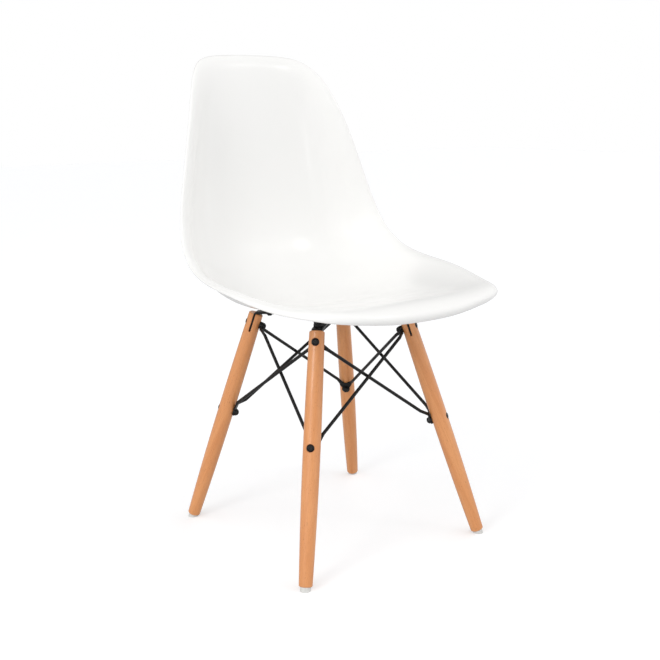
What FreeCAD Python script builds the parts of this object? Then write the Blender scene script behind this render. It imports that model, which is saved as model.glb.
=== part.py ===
import FreeCAD, Part
import math
import os

import Sketcher
from FreeCAD import Placement, Rotation, Vector

# Dining chair: a moulded bucket shell on four splayed beech legs, joined by a crossed steel
# frame under the seat and by four V-shaped rod braces.
# Millimetres.  +Z is up, the sitter faces -Y, the floor is z = 0 and the leg square is
# centred on the origin.

# Driving dimensions: (alias, value, what it is)
DIMENSIONS = [
    # leg square and the lean of the legs
    ("foot_half", 185.0, "half the spacing of the feet on the floor"),
    ("top_half", 93.0, "half the spacing of the leg tops"),
    ("top_height", 387.0, "height of the leg tops"),
    # turned leg
    ("leg_top_radius", 12.4, "leg radius at its top"),
    ("leg_belly_radius", 14.2, "leg radius at its thickest point"),
    ("leg_foot_radius", 11.0, "leg radius at its foot"),
    ("belly_drop", 187.0, "thickest point and lower bolt, below the leg top"),
    ("leg_chamfer", 1.6, "chamfer at both ends of a leg"),
    ("glide_gap", 5.8, "wood stops this far above the floor, along the leg"),
    ("slot_width", 3.7, "saw slot in the leg top"),
    ("slot_depth", 33.0, "depth of the saw slot"),
    ("upper_drop", 18.5, "upper bolt, below the leg top"),
    ("bolt_hole_radius", 3.2, "bolt holes in leg and frame"),
    ("upper_seat", 12.2, "inner spot face at the upper bolt, from the leg axis"),
    ("lower_seat", 13.7, "inner spot face at the lower bolt, from the leg axis"),
    ("upper_recess", 10.0, "floor of the recess for the upper bolt's head, from the leg axis"),
    ("lower_recess", 11.4, "floor of the recess for the lower bolt's head, from the leg axis"),
    ("seat_radius", 6.9, "radius of the spot faces and recesses"),
    # glide and its nail
    ("glide_radius", 8.5, "glide radius"),
    ("nail_radius", 1.0, "glide nail radius"),
    ("nail_depth", 16.0, "nail hole in the leg"),
    ("nail_point", 3.0, "length of the nail's point"),
    ("nail_head_radius", 2.5, "nail head radius"),
    ("nail_head_low", 3.2, "nail head bottom above the floor, along the leg"),
    ("nail_head_thick", 1.0, "nail head thickness"),
    # crossed frame
    ("bar_width", 18.0, "width of the bent steel bars"),
    ("bar_thick", 3.5, "thickness of the bars"),
    ("bar_top", 390.5, "height of the bars' top face"),
    ("tab_length", 31.0, "tab below the leg top, along the leg"),
    ("bend_radius", 4.5, "outer radius where a tab bends down"),
    ("mount_half", 76.0, "half the spacing of the seat screws"),
    ("screw_hole_radius", 2.8, "seat screw holes in the bars"),
    # seat mounting
    ("mount_radius", 10.0, "rubber mount radius"),
    ("mount_bulge", 0.8, "waist of the rubber mount"),
    ("rear_boss_height", 394.0, "height of the rear bosses' flat ends"),
    ("front_boss_height", 400.0, "height of the front bosses' flat ends"),
    ("boss_radius", 12.0, "radius of the bosses under the shell"),
    ("insert_radius", 3.6, "threaded insert outer radius"),
    ("insert_length", 4.6, "threaded insert length"),
    ("screw_radius", 2.5, "seat screw radius"),
    ("screw_grip", 4.2, "screw length inside the insert"),
    ("screw_head_radius", 4.75, "seat screw head radius"),
    ("screw_head_height", 2.8, "seat screw head height"),
    ("screw_socket_radius", 1.84, "seat screw socket radius, to its corners"),
    ("screw_socket_depth", 1.6, "seat screw socket depth"),
    ("screw_washer_radius", 6.5, "seat screw washer radius"),
    ("washer_thick", 1.0, "thickness of every washer"),
    # leg bolts, cap nuts and washers
    ("bolt_radius", 3.0, "leg bolt radius"),
    ("head_radius", 6.2, "button head radius"),
    ("head_height", 3.4, "button head height"),
    ("head_rim", 0.8, "straight rim of the button head"),
    ("bolt_short", 0.6, "bolt stops this far short of the end of the nut's thread"),
    ("socket_radius", 2.3, "hexagon socket radius, to its corners"),
    ("socket_depth", 2.0, "hexagon socket depth"),
    ("nut_radius", 6.2, "cap nut radius, to its corners"),
    ("nut_hex_height", 3.0, "height of the cap nut's hexagon"),
    ("nut_height", 6.4, "height of the cap nut with its dome"),
    ("nut_bore_depth", 4.6, "depth of the cap nut's thread"),
    ("washer_radius", 6.6, "leg washer radius"),
    # rod braces
    ("rod_radius", 2.8, "brace rod radius"),
    ("eye_radius", 6.4, "flattened eye at the upper bolt"),
    ("eye_thick", 2.0, "thickness of an eye"),
    ("pad_radius", 7.5, "flattened pad at the lower bolt"),
    ("pad_thick", 2.5, "thickness of the pad"),
    ("pad_reach", 15.0, "pad centre to the start of a rod"),
    ("eye_reach", 8.0, "eye centre to the start of a rod"),
    ("flat_half_width", 4.4, "half width of a flattened rod end"),
    ("swage_length", 14.0, "length over which the rod flattens"),
    ("rod_joggle", 3.9, "sideways set that lets two crossing rods pass"),
    # moulded shell
    ("shell_thick", 5.0, "wall of the moulded shell"),
    ("lip_radius", 13.4, "radius of the rolled rim"),
    ("lip_turn", 80.0, "degrees through which the rim rolls outwards"),
    ("lip_share", 0.087, "share of the half width taken by the rolled rim"),
    ("front_corner", 3.5, "squareness of the front corners"),
    ("back_corner", 4.6, "squareness of the top corners"),
    ("front_wing_power", 2.5, "how late the sides turn up at the front edge"),
    ("back_wing_power", 4.4, "how late the sides turn up at the top edge"),
]

# Poles of the shell's centre line from the front edge to the top edge:
# (name, y, z, half width, rise of the side wings)
STATIONS = [
    ("lip", -266, 418, 170, -23),
    ("knee", -249, 452, 229, 6),
    ("thigh", -171, 436, 221, 15),
    ("seat", -59, 420, 245, 59),
    ("hollow", 122, 375, 214, 119),
    ("lumbar", 248, 512, 224, 98),
    ("shoulder", 221, 812, 155, 115),
    ("crown", 250, 845, 171, 70),
]

# Cutters start and stop this far outside what they cut.
CLEAR = 9.0
# Stock for a boss, long enough to pass through the wall above it.
BOSS_STOCK = 60.0
# A flattened rod end runs this far into the plate it belongs to, and a dome into its nut.
LAP = 0.5
# Poles across and along each face of the shell, and how much they crowd at the ends.
POLES_ACROSS = 41
POLES_ALONG = 57
CROWDING = 0.55
# Angles of the rows of poles round the half-round edge of the shell.
RIM_ANGLES = (0, 30, 60, 90, 120, 150, 180)
# Largest gap that joins two faces of the shell.
SEWING_GAP = 1e-4
# Pan head of a seat screw: straight rim, and top radius, as shares of the head.
PAN_RIM = 0.4
PAN_TOP = 0.7
# Button head of a leg bolt: corner of its crown, and its flat top, as shares of the head.
BUTTON_RISE = 0.75
BUTTON_SHOULDER = 0.8
BUTTON_TOP = 0.5
# Dome of a cap nut: its base, its corners and its flat top, as shares of nut and dome.
DOME_BASE = 0.82
DOME_TOP = 0.35
DOME_SHOULDER = 0.78
DOME_UPPER = 0.23
DOME_LOWER = 0.36

LEGS = [("rear_right", 45.0), ("rear_left", 135.0), ("front_left", 225.0), ("front_right", 315.0)]
BASE_TURN = LEGS[0][1]

doc = FreeCAD.newDocument("DiningChair")
sheet = doc.addObject("Spreadsheet::Sheet", "Sizes")


def fill_sheet():
    rows = list(DIMENSIONS)
    for name, y, z, half, rise in STATIONS:
        rows.append((name + "_y", y, "shell centre line, " + name + ", depth"))
        rows.append((name + "_z", z, "shell centre line, " + name + ", height"))
        rows.append((name + "_half", half, "shell half width, " + name))
        rows.append((name + "_rise", rise, "shell wing rise, " + name))
    for row, (alias, value, note) in enumerate(rows, 1):
        sheet.set("A%d" % row, note)
        sheet.set("B%d" % row, str(value))
        sheet.setAlias("B%d" % row, alias)
    doc.recompute()


class Size:
    """A number together with the sheet expression that gives it."""

    def __init__(self, value, text):
        self.value = value
        self.text = text

    def _join(self, other, sign, value):
        return Size(value, "(%s %s %s)" % (self.text, sign, other.text))

    def __add__(self, other):
        other = as_size(other)
        return self._join(other, "+", self.value + other.value)

    def __sub__(self, other):
        other = as_size(other)
        return self._join(other, "-", self.value - other.value)

    def __mul__(self, other):
        other = as_size(other)
        return self._join(other, "*", self.value * other.value)

    def __truediv__(self, other):
        other = as_size(other)
        return self._join(other, "/", self.value / other.value)

    def __neg__(self):
        return Size(-self.value, "(-%s)" % self.text)

    def root(self):
        return Size(math.sqrt(self.value), "sqrt(%s)" % self.text)


def as_size(value):
    return value if isinstance(value, Size) else Size(float(value), repr(float(value)))


def size(alias):
    return Size(float(sheet.get(alias)), "Sizes." + alias)


def number(alias):
    return float(sheet.get(alias))


fill_sheet()

ZERO = as_size(0)
TOP_REACH = size("top_half") * as_size(2).root()
FOOT_REACH = size("foot_half") * as_size(2).root()
LEG_RUN = FOOT_REACH - TOP_REACH
AXIS_LENGTH = (LEG_RUN * LEG_RUN + size("top_height") * size("top_height")).root()
LEAN_SIN = LEG_RUN / AXIS_LENGTH
LEAN_COS = size("top_height") / AXIS_LENGTH
LEAN = math.degrees(math.asin(LEAN_SIN.value))
MOUNT_REACH = size("mount_half") * as_size(2).root()


def turned(angle):
    return Placement(Vector(0, 0, 0), Rotation(Vector(0, 0, 1), angle))


def leg_placement(angle):
    """Leg frame: origin at the leg top, z up along the leg, x outwards from the chair."""
    lean = Rotation(Vector(0, 1, 0), -LEAN)
    top = Vector(TOP_REACH.value, 0, number("top_height"))
    return turned(angle).multiply(Placement(top, lean))


def bind(thing, **sizes):
    for name, value in sizes.items():
        thing.setExpression(name, as_size(value).text)


def new_body(name, placement=None, many=False):
    body = doc.addObject("PartDesign::Body", name)
    body.Label = name
    body.AllowCompound = many
    if placement is not None:
        body.Placement = placement
    return body


def origin_feature(body, role):
    return [item for item in body.Origin.OriginFeatures if item.Role == role][0]


def new_sketch(body, name, plane, offset=None):
    sketch = body.newObject("Sketcher::SketchObject", body.Label + "_" + name)
    sketch.AttachmentSupport = (origin_feature(body, plane), [""])
    sketch.MapMode = "FlatFace"
    if offset is not None:
        sketch.AttachmentOffset = offset
    return sketch


def pin_point(sketch, index, end, x, y):
    """Hold one end of a sketch line at the sizes x, y."""
    for kind, value, axis in (("DistanceX", x, -2), ("DistanceY", y, -1)):
        if value is ZERO:
            sketch.addConstraint(Sketcher.Constraint("PointOnObject", index, end, axis))
            continue
        row = sketch.addConstraint(Sketcher.Constraint(kind, -1, 1, index, end, value.value))
        sketch.setExpression("Constraints[%d]" % row, value.text)


def draw_outline(sketch, corners):
    """Closed outline.  A corner is (x, y), or (x, y, c) where an arc whose centre is at
    height c runs from it to the next corner."""
    starts = []
    corners = [tuple(ZERO if part is ZERO else as_size(part) for part in corner) for corner in corners]
    for index, corner in enumerate(corners):
        following = corners[(index + 1) % len(corners)]
        x0, y0 = corner[0].value, corner[1].value
        x1, y1 = following[0].value, following[1].value
        if len(corner) == 2:
            line = Part.LineSegment(Vector(x0, y0, 0), Vector(x1, y1, 0))
            sketch.addGeometry(line)
            starts.append((1, 2))
            continue
        level = corner[2].value
        centre_x = ((x1 ** 2 + (y1 - level) ** 2) - (x0 ** 2 + (y0 - level) ** 2)) / (2 * (x1 - x0))
        radius = math.hypot(x0 - centre_x, y0 - level)
        first = math.atan2(y0 - level, x0 - centre_x)
        last = math.atan2(y1 - level, x1 - centre_x)
        circle = Part.Circle(Vector(centre_x, level, 0), Vector(0, 0, 1), radius)
        if first > last:
            sketch.addGeometry(Part.ArcOfCircle(circle, last, first))
            starts.append((2, 1))
        else:
            sketch.addGeometry(Part.ArcOfCircle(circle, first, last))
            starts.append((1, 2))
    for index, corner in enumerate(corners):
        begin, end = starts[index]
        following = (index + 1) % len(corners)
        sketch.addConstraint(
            Sketcher.Constraint("Coincident", index, end, following, starts[following][0]))
        pin_point(sketch, index, begin, corner[0], corner[1])
        if len(corner) == 3:
            row = sketch.addConstraint(
                Sketcher.Constraint("DistanceY", -1, 1, index, 3, corner[2].value))
            sketch.setExpression("Constraints[%d]" % row, corner[2].text)


def draw_circle(sketch, x, y, radius):
    index = sketch.addGeometry(
        Part.Circle(Vector(x.value, y.value, 0), Vector(0, 0, 1), radius.value))
    pin_point(sketch, index, 3, x, y)
    row = sketch.addConstraint(Sketcher.Constraint("Radius", index, radius.value))
    sketch.setExpression("Constraints[%d]" % row, radius.text)


def draw_hexagon(sketch, radius):
    corners = []
    for step in range(6):
        angle = math.radians(60 * step)
        cosine, sine = round(math.cos(angle), 9), round(math.sin(angle), 9)
        corners.append((radius * cosine if cosine else ZERO, radius * sine if sine else ZERO))
    draw_outline(sketch, corners)


def revolve(body, sketch, axis="V_Axis"):
    turn = body.newObject("PartDesign::Revolution", body.Label + "_turned")
    turn.Profile = sketch
    turn.ReferenceAxis = (sketch, [axis])
    turn.Angle = 360
    doc.recompute()
    return turn


def pad(body, sketch, length, both_ways=False, back=False):
    solid = body.newObject("PartDesign::Pad", body.Label + "_pad")
    solid.Profile = sketch
    solid.SideType = "Symmetric" if both_ways else "One side"
    solid.Reversed = back
    bind(solid, Length=length)
    doc.recompute()
    return solid


def pocket(body, sketch, both_ways=False, back=False, depth=None):
    """Cut the sketch out of the body, and make sure that it does remove material."""
    before = body.Shape.Volume
    cut = body.newObject("PartDesign::Pocket", sketch.Label + "_cut")
    cut.Profile = sketch
    cut.SideType = "Symmetric" if both_ways else "One side"
    cut.Reversed = back
    if depth is None:
        cut.Type = "ThroughAll"
    else:
        bind(cut, Length=depth)
    doc.recompute()
    if body.Shape.Volume >= before:
        raise RuntimeError(sketch.Label + " removes nothing")
    return cut


def around_chair(body, features):
    """Repeat the features at all four legs."""
    pattern = body.newObject("PartDesign::PolarPattern", body.Label + "_around")
    pattern.Originals = features
    pattern.Axis = (origin_feature(body, "Z_Axis"), [""])
    pattern.Angle = 360
    pattern.Occurrences = len(LEGS)
    body.Tip = pattern
    doc.recompute()


def mirror_across(body, features):
    """Repeat the features on the other side of the chair."""
    pattern = body.newObject("PartDesign::Mirrored", body.Label + "_mirrored")
    pattern.Originals = features
    pattern.MirrorPlane = (origin_feature(body, "YZ_Plane"), [""])
    body.Tip = pattern
    doc.recompute()


# ---------------------------------------------------------------- moulded shell

def shell_curves():
    """Centre line of the shell, and its half width with the rise of its wings."""
    line = Part.BSplineCurve()
    line.buildFromPoles(
        [Vector(0, number(row[0] + "_y"), number(row[0] + "_z")) for row in STATIONS], False, 3)
    spread = Part.BSplineCurve()
    spread.buildFromPoles(
        [Vector(number(row[0] + "_half"), number(row[0] + "_rise"), 0) for row in STATIONS], False, 3)
    return line, spread


def clamp(value, low, high):
    return max(low, min(high, value))


class Shell:
    """Upper face of the shell over the unit disc: u across the chair, v from front to top."""

    def __init__(self):
        self.line, self.spread = shell_curves()
        self.lip_radius = number("lip_radius")
        self.lip_turn = math.radians(number("lip_turn"))
        self.lip_share = number("lip_share")
        self.corners = number("front_corner"), number("back_corner")
        self.powers = number("front_wing_power"), number("back_wing_power")

    def body_point(self, across, along):
        """Point of the unrolled shell, across in -1..1 and along in 0..1."""
        centre = self.line.value(along)
        tangent = self.line.tangent(along)[0]
        spread = self.spread.value(along)
        power = self.powers[0] + (self.powers[1] - self.powers[0]) * along
        rise = spread.y * abs(across) ** power
        return Vector(spread.x * across, centre.y - tangent.z * rise, centre.z + tangent.y * rise)

    def body_normal(self, across, along):
        step = 1e-4
        low, high = clamp(along - step, 0, 1), clamp(along + step, 0, 1)
        sideways = self.body_point(across + step, along) - self.body_point(across - step, along)
        forwards = self.body_point(across, high) - self.body_point(across, low)
        return sideways.cross(forwards).normalize()

    def point(self, u, v):
        """Point of the upper face, with the rounded corners and the rolled rim."""
        distance = math.hypot(u, v)
        turn = self.lip_turn * clamp((distance - 1 + self.lip_share) / self.lip_share, 0, 1)
        reached = min(distance, 1 - self.lip_share) + self.lip_share * math.sin(turn) / self.lip_turn
        stretch = 1.0
        if distance > 1e-9:
            cosine, sine = u / distance, v / distance
            mean = (self.corners[0] + self.corners[1]) / 2
            square = mean + (self.corners[1] - self.corners[0]) / 2 * sine
            corner = (abs(cosine) ** square + abs(sine) ** square) ** (-1 / square)
            stretch = (1 + (corner - 1) * reached ** 2) * reached / distance
        across = u * stretch
        along = clamp((v * stretch + 1) / 2, 0, 1)
        drop = self.lip_radius * (1 - math.cos(turn))
        return self.body_point(across, along) - self.body_normal(across, along) * drop

    def directions(self, u, v):
        """Unit normal, and the direction that leaves the rim."""
        step = 1e-3
        distance = math.hypot(u, v)
        if distance < 0.5:
            first = self.point(u + step, v) - self.point(u - step, v)
            second = self.point(u, v + step) - self.point(u, v - step)
            return first.cross(second).normalize(), first.normalize()
        here = self.point(u, v)
        outwards = here - self.point(u * (1 - step), v * (1 - step))
        cosine, sine = math.cos(step), math.sin(step)
        ahead = self.point(u * cosine - v * sine, u * sine + v * cosine)
        behind = self.point(u * cosine + v * sine, v * cosine - u * sine)
        around = (ahead - behind).normalize()
        normal = outwards.cross(around).normalize()
        return normal, around.cross(normal).normalize()


def eased(count):
    """Parameters from -1 to 1 that crowd a little towards both ends."""
    steps = [2.0 * index / (count - 1) - 1 for index in range(count)]
    return [(1 - CROWDING) * step + CROWDING * math.sin(math.pi / 2 * step) for step in steps]


def disc(a, b):
    """Square to disc."""
    return a * math.sqrt(1 - b * b / 2), b * math.sqrt(1 - a * a / 2)


def even_knots(poles):
    """Multiplicities and knots of a cubic spline that ends on its first and last pole."""
    spans = poles - 3
    return [4] + [1] * (spans - 1) + [4], [index / spans for index in range(spans + 1)]


def face_over(rows):
    """Cubic face whose poles are a grid of points, so that faces with a row in common join."""
    row_mults, row_knots = even_knots(len(rows))
    column_mults, column_knots = even_knots(len(rows[0]))
    surface = Part.BSplineSurface()
    surface.buildFromPolesMultsKnots(
        rows, row_mults, column_mults, row_knots, column_knots, False, False, 3, 3)
    return surface.toShape()


def rim_rows(shell, places):
    """Half-round edge between the upper and the lower face."""
    half = number("shell_thick") / 2
    rows = []
    for turn in RIM_ANGLES:
        angle = math.radians(turn)
        row = []
        for u, v in places:
            normal, outwards = shell.directions(u, v)
            centre = shell.point(u, v) - normal * half
            row.append(centre + (normal * math.cos(angle) + outwards * math.sin(angle)) * half)
        rows.append(row)
    return rows


def shell_solid():
    shell = Shell()
    across, along = eased(POLES_ACROSS), eased(POLES_ALONG)
    upper, lower = [], []
    for a in across:
        places = [disc(a, b) for b in along]
        upper.append([shell.point(u, v) for u, v in places])
        lower.append([
            shell.point(u, v) - shell.directions(u, v)[0] * number("shell_thick") for u, v in places])
    faces = [face_over(upper), face_over(lower)]
    for a in (-1, 1):
        faces.append(face_over(rim_rows(shell, [disc(a, b) for b in along])))
    for b in (-1, 1):
        faces.append(face_over(rim_rows(shell, [disc(a, b) for a in across])))
    skin = Part.makeCompound(faces)
    skin.sewShape(SEWING_GAP)
    solid = Part.Solid(skin.Shells[0])
    if solid.Volume < 0:
        solid.reverse()
    return solid


def add_bosses(solid):
    """Four moulded bosses with blind holes for the threaded inserts."""
    up = Vector(0, 0, 1)
    half = number("mount_half")
    for side in (-1, 1):
        for depth, level in ((half, number("rear_boss_height")), (-half, number("front_boss_height"))):
            foot = Vector(side * half, depth, level)
            stub = Part.makeCylinder(number("boss_radius"), BOSS_STOCK, foot, up).cut(solid)
            stub = min(stub.Solids, key=lambda piece: piece.CenterOfMass.z)
            hole = Part.makeCylinder(number("insert_radius"), number("insert_length"), foot, up)
            solid = solid.fuse(stub).cut(hole)
    return solid.Solids[0]


def build_seat_shell():
    part = doc.addObject("Part::Feature", "seat_shell")
    part.Label = "seat_shell"
    part.Shape = add_bosses(shell_solid())
    return part


# ---------------------------------------------------------------- seat mounting

def upright_sketch(body, x, y, z):
    """Sketch plane facing the front, its origin at x, y, z and its y axis upwards."""
    return new_sketch(body, "profile", "XZ_Plane", Placement(Vector(x, z, -y), Rotation()))


def ring_profile(sketch, inner, outer, low, high):
    draw_outline(sketch, [(inner, low), (outer, low), (outer, high), (inner, high)])


def build_threaded_inserts():
    body = new_body("threaded_inserts", many=True)
    features = []
    half = number("mount_half")
    for depth, level in ((half, number("rear_boss_height")), (-half, number("front_boss_height"))):
        sketch = upright_sketch(body, half, depth, level)
        ring_profile(sketch, size("screw_radius"), size("insert_radius"), ZERO, size("insert_length"))
        features.append(revolve(body, sketch))
    mirror_across(body, features)
    return body


def build_shock_mount(name, side, depth, boss_height):
    half = number("mount_half")
    body = new_body("shock_mount_" + name)
    place = Vector(side * half, depth * half, number("bar_top"))
    body.Placement = Placement(place, Rotation())
    tall = size(boss_height) - size("bar_top")
    outer, waist = size("mount_radius"), size("mount_radius") - size("mount_bulge")
    sketch = new_sketch(body, "profile", "XZ_Plane")
    draw_outline(sketch, [
        (size("screw_hole_radius"), ZERO), (outer, ZERO), (outer, tall * 0.25),
        (waist, tall * 0.5), (outer, tall * 0.75), (outer, tall), (size("screw_hole_radius"), tall)])
    revolve(body, sketch)
    return body


def build_seat_screws(name, depth, boss_height):
    """Two pan-head screws up through the bars into the inserts."""
    body = new_body("seat_screws_" + name, many=True)
    half = number("mount_half")
    under_bar = size("bar_top") - size("bar_thick") - size("washer_thick")
    sketch = upright_sketch(body, half, depth * half, under_bar.value)
    shank = size(boss_height) + size("screw_grip") - under_bar
    radius, head = size("screw_radius"), size("screw_head_radius")
    drop = -size("screw_head_height")
    draw_outline(sketch, [
        (ZERO, shank), (radius, shank), (radius, ZERO), (head, ZERO), (head, drop * PAN_RIM),
        (head * PAN_TOP, drop), (ZERO, drop)])
    screw = revolve(body, sketch)
    level = under_bar.value - number("screw_head_height")
    key = new_sketch(body, "socket", "XY_Plane", Placement(Vector(half, depth * half, level), Rotation()))
    draw_hexagon(key, size("screw_socket_radius"))
    socket = pocket(body, key, back=True, depth=size("screw_socket_depth"))
    mirror_across(body, [screw, socket])
    return body


def build_seat_screw_washers():
    body = new_body("seat_screw_washers", turned(BASE_TURN), many=True)
    low = size("bar_top") - size("bar_thick") - size("washer_thick")
    sketch = upright_sketch(body, MOUNT_REACH.value, 0, low.value)
    ring_profile(sketch, size("screw_hole_radius"), size("screw_washer_radius"), ZERO, size("washer_thick"))
    around_chair(body, [revolve(body, sketch)])
    return body


# ---------------------------------------------------------------- crossed frame

def build_cross_bar(name, angle, notch_above):
    """Flat bar, both ends bent down into the leg slots, halved where the bars cross."""
    body = new_body(name, turned(angle))
    thick = size("bar_thick")
    high = size("bar_top")
    low = high - thick

    def tab_point(offset, along):
        """Offset from the leg axis, and a distance down it."""
        return (TOP_REACH + LEAN_COS * offset + LEAN_SIN * along,
                size("top_height") + LEAN_SIN * offset - LEAN_COS * along)

    def along_at(offset, level):
        return (size("top_height") + LEAN_SIN * offset - level) / LEAN_COS

    outer, inner = thick / 2, -(thick / 2)
    right = [
        tab_point(inner, along_at(inner, low)),
        tab_point(inner, size("tab_length")),
        tab_point(outer, size("tab_length")),
        tab_point(outer, along_at(outer, high)),
    ]
    left = [(-x, y) for x, y in reversed(right)]
    sketch = new_sketch(body, "profile", "XZ_Plane")
    draw_outline(sketch, right + left)
    bar = pad(body, sketch, size("bar_width"), both_ways=True)

    corner = abs(right[3][0].value)
    bends = [
        "Edge%d" % (index + 1) for index, edge in enumerate(bar.Shape.Edges)
        if edge.Length < corner
        and all(abs(abs(v.X) - corner) < 0.01 and v.Z > low.value for v in edge.Vertexes)]
    rounding = body.newObject("PartDesign::Fillet", name + "_bends")
    rounding.Base = (bar, bends)
    bind(rounding, Radius=size("bend_radius"))
    doc.recompute()

    top_face = Placement(Vector(0, 0, high.value), Rotation())
    screws = new_sketch(body, "screw_holes", "XY_Plane", top_face)
    for reach in (MOUNT_REACH, -MOUNT_REACH):
        draw_circle(screws, reach, ZERO, size("screw_hole_radius"))
    pocket(body, screws)

    for side in (1, -1):
        # the tab's hole runs along the bolt, square to the leg
        centre = tab_point(ZERO, size("upper_drop"))
        hole = body.newObject("PartDesign::SubtractiveCylinder", name + "_tab_hole")
        lean = Rotation(Vector(0, 1, 0), side * (90 - LEAN))
        start = Vector(side * centre[0].value, 0, centre[1].value) - lean.multVec(Vector(0, 0, CLEAR))
        hole.Placement = Placement(start, lean)
        bind(hole, Radius=size("bolt_hole_radius"))
        hole.Height = 2 * CLEAR
        doc.recompute()

    notch = new_sketch(body, "halving", "XZ_Plane")
    half = size("bar_width") / 2
    middle = high - thick / 2
    bottom, top = (middle, high + CLEAR) if notch_above else (low - CLEAR, middle)
    draw_outline(notch, [(-half, bottom), (half, bottom), (half, top), (-half, top)])
    pocket(body, notch, both_ways=True)
    return body


# ---------------------------------------------------------------- legs and glides

WOOD_END = -(AXIS_LENGTH - size("glide_gap"))


def build_leg(name, angle):
    """Turned beech leg, thickest at the lower bolt, slotted at the top for the frame's tab."""
    body = new_body("leg_" + name, leg_placement(angle))
    chamfer = size("leg_chamfer")
    belly = -size("belly_drop")
    nail_top = WOOD_END + size("nail_depth")
    sketch = new_sketch(body, "profile", "XZ_Plane")
    draw_outline(sketch, [
        (ZERO, ZERO),
        (size("leg_top_radius") - chamfer, ZERO),
        (size("leg_top_radius"), -chamfer, belly),
        (size("leg_belly_radius"), belly, belly),
        (size("leg_foot_radius"), WOOD_END + chamfer),
        (size("leg_foot_radius") - chamfer, WOOD_END),
        (size("nail_radius"), WOOD_END),
        (size("nail_radius"), nail_top),
        (ZERO, nail_top),
    ])
    revolve(body, sketch)

    slot = new_sketch(body, "slot", "XZ_Plane")
    half = size("slot_width") / 2
    open_top = as_size(CLEAR)
    draw_outline(slot, [
        (-half, -size("slot_depth")), (half, -size("slot_depth")), (half, open_top), (-half, open_top)])
    pocket(body, slot, both_ways=True)

    holes = new_sketch(body, "bolt_holes", "YZ_Plane")
    for drop in ("upper_drop", "belly_drop"):
        draw_circle(holes, ZERO, -size(drop), size("bolt_hole_radius"))
    pocket(body, holes, both_ways=True)

    for drop, side, seat in (
            ("upper_drop", 1, "upper_recess"), ("upper_drop", -1, "upper_seat"),
            ("belly_drop", 1, "lower_recess"), ("belly_drop", -1, "lower_seat")):
        offset = Placement(Vector(0, 0, side * number(seat)), Rotation())
        spot = new_sketch(body, "spot_face", "YZ_Plane", offset)
        draw_circle(spot, ZERO, -size(drop), size("seat_radius"))
        pocket(body, spot, back=side > 0)
    return body


def build_glide(name, angle):
    """Plastic glide under a leg, its underside flat on the floor."""
    label = "glide_" + name
    place = leg_placement(angle)
    plug = doc.addObject("Part::Cylinder", label + "_plug")
    bind(plug, Radius=size("glide_radius"), Height=size("glide_gap") + size("glide_radius"))
    plug.Placement = place.multiply(
        Placement(Vector(0, 0, WOOD_END.value), Rotation(Vector(1, 0, 0), 180)))
    above = doc.addObject("Part::Box", label + "_above_floor")
    bind(above, Length=size("glide_radius") * 6, Width=size("glide_radius") * 6,
         Height=size("glide_radius") * 4)
    foot = place.multVec(Vector(0, 0, -AXIS_LENGTH.value))
    reach = number("glide_radius") * 3
    above.Placement = Placement(Vector(foot.x - reach, foot.y - reach, 0), Rotation())
    level = doc.addObject("Part::Common", label + "_level")
    level.Base = plug
    level.Tool = above

    shaft = doc.addObject("Part::Cylinder", label + "_nail_hole")
    bind(shaft, Radius=size("nail_radius"), Height=size("glide_gap") * 3)
    below = place.multiply(Placement(Vector(0, 0, -AXIS_LENGTH.value - CLEAR), Rotation()))
    shaft.Placement = below
    recess = doc.addObject("Part::Cylinder", label + "_recess")
    head_top = size("nail_head_low") + size("nail_head_thick")
    bind(recess, Radius=size("nail_head_radius"), Height=head_top + CLEAR)
    recess.Placement = below
    bore = doc.addObject("Part::Fuse", label + "_bore")
    bore.Base = shaft
    bore.Tool = recess
    glide = doc.addObject("Part::Cut", label)
    glide.Label = label
    glide.Base = level
    glide.Tool = bore
    return glide


def leg_frame_sketch(body, name, drop, turn=0.0):
    """Sketch in the plane of a leg, its x axis pointing outwards square to the leg."""
    x = TOP_REACH.value + LEAN_SIN.value * drop
    z = number("top_height") - LEAN_COS.value * drop
    offset = Placement(Vector(x, z, 0), Rotation(Vector(0, 0, 1), LEAN + turn))
    return new_sketch(body, name, "XZ_Plane", offset)


def build_glide_nails():
    body = new_body("glide_nails", turned(BASE_TURN), many=True)
    sketch = leg_frame_sketch(body, "profile", AXIS_LENGTH.value)
    low = size("nail_head_low")
    head_top = low + size("nail_head_thick")
    tip = size("glide_gap") + size("nail_depth")
    radius, point = size("nail_radius"), size("nail_point")
    draw_outline(sketch, [
        (ZERO, low), (size("nail_head_radius"), low), (size("nail_head_radius"), head_top),
        (radius, head_top), (radius, tip - point), (ZERO, tip)])
    around_chair(body, [revolve(body, sketch)])
    return body


# ---------------------------------------------------------------- leg bolts

def build_leg_bolts(name, drop, recess, seat, stack):
    """Button-head bolts from the outside of each leg, their heads sunk in the recesses."""
    body = new_body(name, turned(BASE_TURN), many=True)
    sketch = leg_frame_sketch(body, "profile", number(drop))
    face = size(recess)
    crown = face + size("head_height")
    tip = -(size(seat) + stack + size("nut_bore_depth") - size("bolt_short"))
    head, shank = size("head_radius"), size("bolt_radius")
    draw_outline(sketch, [
        (tip, ZERO), (tip, shank), (face, shank), (face, head), (face + size("head_rim"), head),
        (face + size("head_height") * BUTTON_RISE, head * BUTTON_SHOULDER),
        (crown, head * BUTTON_TOP), (crown, ZERO)])
    bolt = revolve(body, sketch, "H_Axis")
    lean = Rotation(Vector(1, 0, 0), -LEAN)
    key = new_sketch(body, "socket", "YZ_Plane", key_placement(drop, crown.value, lean))
    draw_hexagon(key, size("socket_radius"))
    socket = pocket(body, key, depth=size("socket_depth"))
    around_chair(body, [bolt, socket])
    return body


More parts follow.
